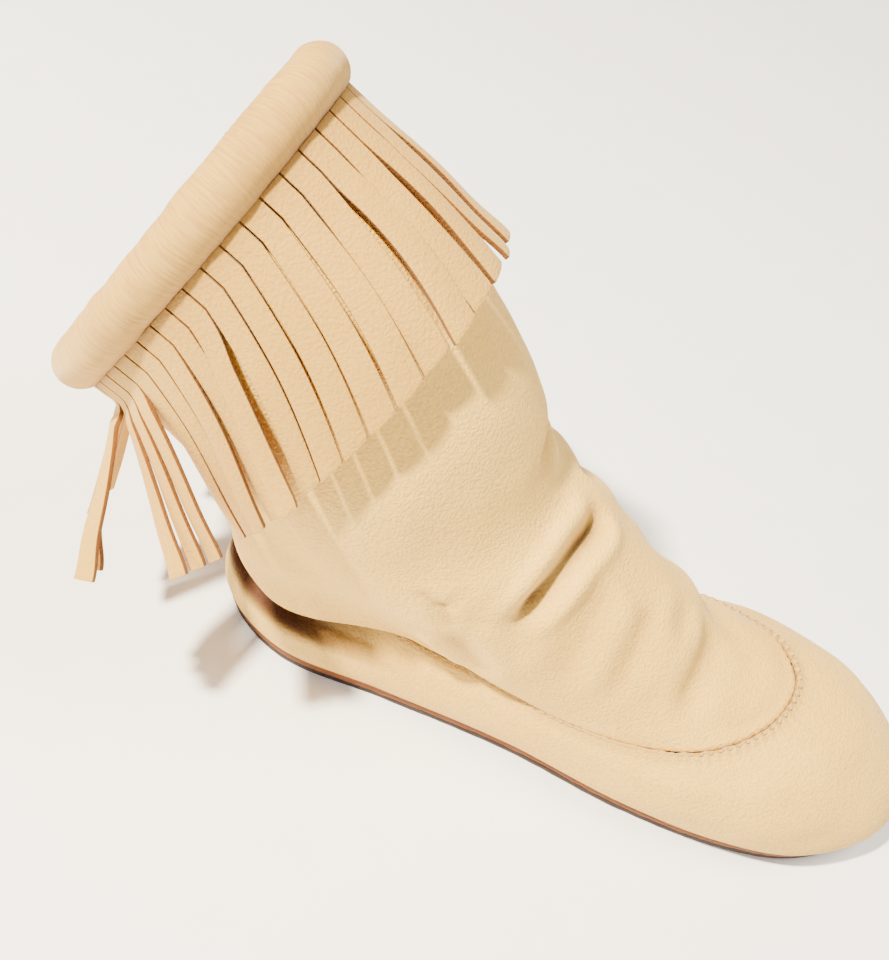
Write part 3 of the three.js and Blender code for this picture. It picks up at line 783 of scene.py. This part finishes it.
def leg_leather():
    """One soft skin from the toe seam over the instep and up to the collar."""
    across, along = 280, 170
    shares = np.linspace(0, 1, along + 1) ** 1.06
    columns = [leg_column(TURN * a / across, shares) for a in range(across)]
    bm = bmesh.new()
    angle_layer = bm.verts.layers.float.new("angle")
    height_layer = bm.verts.layers.float.new("height")
    made = bmesh.ops.create_grid(bm, x_segments=across, y_segments=along, size=0.5)["verts"]
    spots = np.array([v.co[:2] for v in made]) + 0.5
    for vertex, (u, v) in zip(made, spots):
        column, row = round(u * across) % across, round(v * along)
        points, heights = columns[column]
        vertex.co = Vector(points[row]) * MM
        vertex[angle_layer] = TURN * column / across
        vertex[height_layer] = heights[row]
    bmesh.ops.remove_doubles(bm, verts=made, dist=1e-6)
    bmesh.ops.recalc_face_normals(bm, faces=bm.faces[:])
    piece = add_piece(bm, "leg_leather")
    angle, height = (read_marks(piece, name) for name in ("angle", "height"))
    points, normals = points_of(piece), outward(piece)
    out, drop, shade = heel_slouch(angle, height)
    points = points + normals * out[:, None] - np.array([0, 0, 1]) * drop[:, None]
    moved, dark = fold_shape(points, normals)
    slack = noise_at(points * 0.028 + (3, 1, 7)) * 1.9
    ripple = noise_at(points * 0.09) * 0.28
    below_collar = (collar_centre - points) @ collar_normal
    fade = ease(height, 2, 16) * (0.12 + 0.88 * ease(below_collar, 55, 85))
    tuck = -2.1 * (1 - ease(height, -1, 1.6))
    gather = 0.35 * pucker(angle, 1.2) * np.exp(-np.abs(height) / 3.5)
    moved = moved + (slack + ripple) * fade + tuck + gather
    points = points + normals * moved[:, None]
    set_points(piece, points)
    # Painted shade under the slack that bags over the heel, and where the leg leather tucks into the seam.
    dark = np.maximum(dark, 0.9 * shade)
    dark = np.maximum(dark, 0.4 * np.exp(-np.maximum(height, 0) / 1.0))
    mark(piece, "painted_shade", np.clip(dark, 0, 1))
    # Painted highlight where the leather bulges out.
    mark(piece, "painted_highlight", np.clip(0.16 * moved, 0, 0.5))
    for name in ("angle", "height"):
        piece.data.attributes.remove(piece.data.attributes[name])
    thicken(piece, leather)
    piece.data.materials.append(cream_leather)
    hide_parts("vamp", "shaft")
    return piece


def read_marks(piece, name):
    values = np.empty(len(piece.data.vertices), np.float32)
    piece.data.attributes[name].data.foreach_get("value", values)
    return values.astype(float)


def bend_at_ankle(piece):
    """Bakes the leather's placement into its mesh."""
    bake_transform(piece)


def seam_stitches():
    """Running stitches along the toe seam, one thread, each stitch dipping into both leathers."""
    bm = bmesh.new()
    line = np.vstack([seam_line, seam_line[:1]])
    reach = np.append(seam_reach, seam_reach[-1] + np.linalg.norm(seam_line[0] - seam_line[-1]))
    count = int(reach[-1] / stitch_pitch)
    random.seed(12)
    for k in range(count):
        middle = (k + 0.5) * reach[-1] / count
        ends = np.stack([np.interp([middle - 1.15, middle + 1.15], reach, line[:, i]) for i in range(3)], 1)
        angle = np.interp(middle, reach, np.append(seam_angles, TURN))
        if heel_share(angle) > 0.3:
            continue
        out = np.append(outline_normal(angle)[0], 0.35)
        spot = ends.mean(0) + out / np.linalg.norm(out) * 0.75 + np.array([0, 0, 0.35])
        way = Vector(ends[1] - ends[0]).normalized()
        way = (way + Vector(out) * random.uniform(0.12, 0.34)).normalized()
        turn = way.to_track_quat("X", "Z").to_matrix().to_4x4()
        size = Matrix.Diagonal((1.25 + random.uniform(-0.1, 0.1), 0.5, 0.42, 1))
        bmesh.ops.create_icosphere(bm, subdivisions=1, radius=MM,
                                   matrix=Matrix.Translation(Vector(spot) * MM) @ turn @ size)
    piece = add_piece(bm, "seam_stitches")
    piece.data.materials.append(waxed_thread)
    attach(piece, "foot")
    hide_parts("moccasin_seam_thread")


# ---- Collar ----------------------------------------------------------------------------------------
def collar_roll():
    """Padded roll, slightly fuller and thinner along its length, open below where the leg enters."""
    across, around = 360, 34
    opening = 0.2

    def place(u, v):
        angle = TURN * (np.round(u * across) % across) / across
        turn = -math.pi / 2 + opening + (TURN - 2 * opening) * v
        ring = collar_point(angle + 0.01) - collar_point(angle - 0.01)
        ring /= np.linalg.norm(ring, axis=1)[:, None]
        out = np.cross(ring, collar_normal)
        out /= np.linalg.norm(out, axis=1)[:, None]
        c, s = np.cos(angle), np.sin(angle)
        full = noise_at(c * 2.2, s * 2.2, np.full(len(angle), 4.0))
        lumps = noise_at(c * 9, s * 9, turn * 0.8)
        creases = noise_at(c * 46, s * 46, turn * 0.7 + 8)
        radius = roll_radius + 0.1 + 0.4 * full + 0.3 * lumps + 0.12 * creases
        return (collar_point(angle) + collar_normal * 1.0 + out * (radius * np.cos(turn))[:, None]
                + collar_normal * (radius * np.sin(turn))[:, None])

    bm = bmesh.new()
    made = bmesh.ops.create_grid(bm, x_segments=across, y_segments=around, size=0.5)["verts"]
    spots = np.array([v.co[:2] for v in made]) + 0.5
    uv = bm.loops.layers.uv.new("around")
    for face in bm.faces:
        for loop in face.loops:
            loop[uv].uv = (loop.vert.co.x + 0.5, loop.vert.co.y + 0.5)
    for vertex, point in zip(made, place(spots[:, 0], spots[:, 1])):
        vertex.co = Vector(point) * MM
    bmesh.ops.remove_doubles(bm, verts=made, dist=1e-6)
    bmesh.ops.recalc_face_normals(bm, faces=bm.faces[:])
    piece = add_piece(bm, "collar_roll_leather")
    points = points_of(piece)
    height = (points - collar_centre) @ collar_normal
    # Painted shade on the roll's underside, where it meets the leg.
    mark(piece, "painted_shade", 0.9 * (1 - ease(height, 0.6 - roll_radius, 3.2 - roll_radius)))
    thicken(piece, leather)
    piece.data.materials.append(shaded_roll_leather)
    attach(piece, "shaft")
    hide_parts("collar_roll")


def fringe_band():
    """Uncut root of the fringe, sewn in under the roll."""
    across, along = 270, 2

    def ring(u, v):
        angle = TURN * (np.round(u * across) % across) / across
        return off_shaft(angle, -2.2 + 2.6 * v, np.full(len(u), strip_face - 0.6))

    bm = bmesh.new()
    sheet_grid(bm, across, along, ring, closed=True)
    piece = add_piece(bm, "fringe_band_leather")
    # Painted shade: the band lies under the roll, in its shadow.
    mark(piece, "painted_shade", np.full(len(piece.data.vertices), 0.3))
    thicken(piece, 1.2)
    piece.data.materials.append(shaded_fringe_leather)
    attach(piece, "shaft")
    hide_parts("fringe_band")


# ---- Fringe ----------------------------------------------------------------------------------------
# How single strips differ: lift of the tip off the shaft, sideways bow, twist of the tip in
# degrees and the curl of the tip, in millimetres; the others are drawn at random.
strip_habits = {
    0: (5.0, 1.2, 14, -1), 44: (5.5, -1.5, -14, -1.5), 1: (4.5, -0.6, 8, -0.6), 43: (5.0, 0.8, 10, -1),
    2: (4.6, 0.8, -6, 0), 3: (5.6, -0.9, 10, 0), 4: (4.2, 0.4, -4, 0.2),
    9: (3.6, 0.2, 0, 0), 10: (7.4, 2.6, 5, 0), 11: (4.2, 0.3, -3, 0),
    15: (5, 0.3, 16, 0.5), 16: (6, 0.6, 30, 0.5), 17: (6, 1.0, 42, 1),
    18: (7, -1, 50, 2), 19: (7, 1.5, 38, 2), 20: (6, -1.5, 56, 3),
}


# How far the strips at the back of the sides fall from the shaft, as a share of hanging free.
cling_habits = {15: 0.5, 16: 0.62, 17: 0.8, 30: 0.8, 31: 0.62, 32: 0.5}


def strip_habit(index):
    draw = random.Random(100 + index)
    plain = (draw.uniform(3.9, 5.3), draw.uniform(-0.3, 0.3), draw.uniform(-5, 5), draw.uniform(-0.4, 0.5))
    return strip_habits.get(index, plain)


def hang_turn(axis, arm):
    """Angle about a comb's hinge at which an arm hangs free, or 0 where the strip lies on the shaft."""
    arm = arm - axis * (arm @ axis)
    turned = np.cross(axis, arm)
    return max(math.atan2(-turned[2], -arm[2]), 0)


def turned_about(points, root, axis, angle):
    """Points turned about a line by an angle of their own (Rodrigues' formula)."""
    arm = points - root
    c, s = np.cos(angle)[:, None], np.sin(angle)[:, None]
    return root + arm * c + np.cross(axis, arm) * s + np.outer(arm @ axis, axis) * (1 - c)


def strip_place(index):
    """Layout function of one strip: u across it, v from its root to its tip."""
    lift, bow, twist, curl = strip_habit(index)
    left = (index - strips_per_comb / 2) * strip_pitch + slit / 2
    width = strip_pitch - slit
    first = index // strips_per_comb * strips_per_comb
    half_comb = strips_per_comb / 2
    ends = angle_at(np.array([first - half_comb, first + half_comb]) * strip_pitch)
    hinge = off_shaft(ends, np.full(2, comb_top), np.full(2, fringe_stand_off + leather / 2))
    axis = (hinge[1] - hinge[0]) / np.linalg.norm(hinge[1] - hinge[0])
    root = hinge.mean(0)
    middle_angle = angle_at(np.array([left + width / 2]))
    mass_centre = off_shaft(middle_angle, np.array([comb_top + fringe_length / 2]), np.array([2.3]))[0]
    hang = hang_turn(axis, mass_centre - root)
    cling = cling_habits.get(index, 1.0)

    def place(u, v):
        down = root_start + strip_reach * v
        v = np.clip((down - comb_top) / fringe_length, 0, 1)
        turn = math.radians(twist) * v**1.4
        middle = (u - 0.5) * np.cos(turn)
        bowed = bow * np.sin(math.pi * np.minimum(v * 1.05, 1)) * ease(v, 0.02, 0.3)
        side = left + width * (0.5 + middle) + bowed
        angle = angle_at(side)
        slant = width * (u - 0.5) * np.sin(turn)
        cup = 0.35 * (1 - 4 * middle**2) * ease(v, 0.05, 0.4)
        out = strip_face + lift * v**1.7 + slant + cup - curl * ease(v, 0.6, 1) ** 2
        laid = off_shaft(angle + fringe_drift * np.sin(angle) * v, down, np.maximum(out, 2.2))
        if hang <= 0:
            return laid
        # a strip that hangs free falls straight down from the roll
        top = off_shaft(angle, np.minimum(down, 3), out)
        fall = off_shaft(angle, np.full(len(u), 7.0), out) - off_shaft(angle, np.full(len(u), 3.0), out)
        fall /= np.linalg.norm(fall, axis=1)[:, None]
        straight = top + fall * np.maximum(down - 3, 0)[:, None]
        free = float(ease(hang, 0.15, 0.6)) * cling
        turned = (1 - free) * hang + free * hang_turn(axis, fall[0])
        points = laid * (1 - free) + straight * free
        return turned_about(points, root, axis, cling * turned * ease(down, 2, 14))

    return place


def fringe_comb(number):
    """Three strips cut from one root under the roll, hanging together below it."""
    bm = bmesh.new()
    shade = bm.verts.layers.float.new("painted_shade")
    first = (number - 1) * strips_per_comb
    for index in range(first, first + strips_per_comb):
        made = bmesh.ops.create_grid(bm, x_segments=len(strip_columns) - 1, y_segments=40, size=0.5)["verts"]
        spots = np.array([v.co[:2] for v in made]) + 0.5
        spots[:, 0] = np.interp(spots[:, 0], np.linspace(0, 1, len(strip_columns)), strip_columns)
        for vertex, point, (u, v) in zip(made, strip_place(index)(spots[:, 0], spots[:, 1]), spots):
            vertex.co = Vector(point) * MM
            # Painted shade at each strip's root under the roll, and along its cut edges where the slits lie
            # in shade.
            cut_edge = abs(2 * u - 1) > 0.99
            vertex[shade] = max(0.6 * math.exp(-v * 26), 0.85 * cut_edge)
    name = f"fringe_{number:02d}"
    piece = add_piece(bm, f"{name}_strips")
    thicken(piece, strip_wall, bevel=0.16)
    piece.data.materials.append(shaded_fringe_leather)
    middle_strip = strip_place(first + 1)
    start, end = (middle_strip(np.array([0.5]), np.array([(down - root_start) / strip_reach]))[0]
                  for down in (1.5, comb_top + 4))
    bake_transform(piece)
    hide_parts(name)


# ---- Hidden pieces carried over from the frame ---------------------------------------------------
def finish_hidden_pieces():
    looks = {
        "insole_board": fibre_board, "sock_lining": brushed_lining, "heel_counter": fibre_board,
        "collar_core": foam, "back_seam": tape,
    }
    for name, material in looks.items():
        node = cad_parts[name]
        for held in node.material_slots:
            held.material = material
        if not node.material_slots:
            node.data.materials.append(material)


set_camera()
set_studio()
sole_layer("outsole_layer", 1.8, 0, outsole_thickness, 0.25, rubber, 3)
sole_layer("midsole_layer", 1.0, midsole_base, midsole_thickness, 0.5, sole_leather, 8)
lower_wrap()
leg = leg_leather()
bend_at_ankle(leg)
seam_stitches()
collar_roll()
fringe_band()
for comb in range(1, fringe_strips // strips_per_comb + 1):
    fringe_comb(comb)
finish_hidden_pieces()
